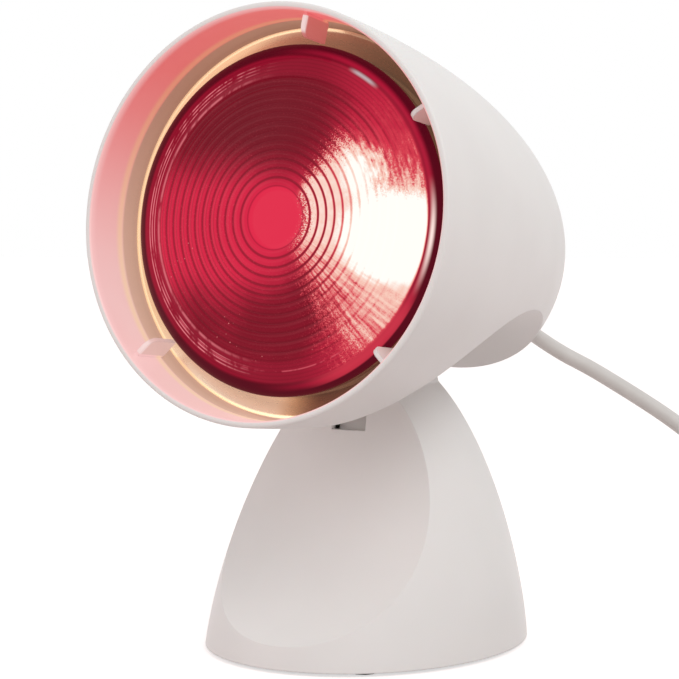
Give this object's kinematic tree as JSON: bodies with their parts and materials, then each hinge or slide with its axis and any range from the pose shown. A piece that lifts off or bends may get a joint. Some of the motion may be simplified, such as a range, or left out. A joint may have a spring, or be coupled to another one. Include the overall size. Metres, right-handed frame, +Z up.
{
  "type": "infrared heat therapy lamp",
  "caption": "Table heat lamp: a bullet-shaped white shade round a red ridged infrared bulb tilts in click steps on a weighted domed base, with a mains lead and in-line switch.",
  "frame": {"origin": "on the table, under the middle of the shade and base taken together, cord left out", "axes": "+Z up, -Y the way the lamp faces, +X to the right of someone who looks along +Y"},
  "size_m": [0.2972, 0.2548, 0.229],
  "materials": {
    "white_plastic": "satin white moulding",
    "cover_plastic": "fine grained",
    "foot_rubber": "matt",
    "ballast_iron": "as cast",
    "steel": "zinc plated",
    "bright_cup": "bright, warm toned",
    "red_glass": "pressed, red filter glass",
    "mirror_glass": "silvered",
    "brass": "plain",
    "pin_metal": "nickel plated",
    "black_insulator": "black vitrified",
    "tungsten": "drawn wire",
    "clear_glass": "clear",
    "porcelain": "unglazed",
    "lead": "smooth pale grey",
    "live_core": "smooth",
    "neutral_core": "smooth"
  },
  "bodies": {
    "base": {"base_shell": "white_plastic", "switch_bottom": "white_plastic", "switch_top": "white_plastic", "bottom_cover": "cover_plastic", "rubber_foot_1": "foot_rubber", "rubber_foot_2": "foot_rubber", "rubber_foot_3": "foot_rubber", "rubber_foot_4": "foot_rubber", "ballast_weight": "ballast_iron", "ballast_screw": "steel", "cover_screw_1": "steel", "cover_screw_2": "steel", "cover_screw_3": "steel", "cover_screw_4": "steel", "pivot_bracket": "steel", "bracket_screw_1": "steel", "bracket_screw_2": "steel", "pivot_pin": "steel", "pivot_nut": "steel", "pivot_washer_1": "steel", "pivot_washer_2": "steel", "detent_leaf": "steel", "rocker_axle": "steel", "switch_screw_1": "steel", "switch_screw_2": "steel", "switch_terminal_1": "brass", "switch_terminal_2": "brass", "plug_pin_1": "pin_metal", "plug_pin_2": "pin_metal", "mains_cord": "lead", "switch_cord": "lead", "cord_coil": "lead", "plug_cord": "lead", "plug_body": "lead"},
    "head": {"head_shell": "white_plastic", "heat_shield": "bright_cup", "bulb_lens": "red_glass", "bulb_reflector": "mirror_glass", "bulb_cap": "brass", "cap_insulator": "black_insulator", "cap_contact": "brass", "filament": "tungsten", "glass_stem": "clear_glass", "lamp_holder": "porcelain", "holder_sleeve": "brass", "holder_contact": "brass", "holder_strap": "steel", "strap_screw_1": "steel", "strap_screw_2": "steel", "holder_screw_1": "steel", "holder_screw_2": "steel", "tilt_arm": "white_plastic", "arm_screw_1": "steel", "arm_screw_2": "steel", "strain_relief": "lead", "cord_stop": "white_plastic", "inner_cable": "lead", "live_wire": "live_core", "neutral_wire": "neutral_core"},
    "rocker": {"switch_rocker": "white_plastic"}
  },
  "joints": [
    {"name": "head_tilt", "type": "hinge", "parent": "base", "child": "head", "pos_m": [0, -0.00982, 0.072], "axis": [-1, 0, 0], "range_deg": [-8, 24], "deforming": ["detent_leaf", "mains_cord"]},
    {"name": "switch_rock", "type": "hinge", "parent": "base", "child": "rocker", "pos_m": [0.122, 0.07718, 0.0148], "axis": [-1, 0, 0], "range_deg": [0, 16]}
  ]
}
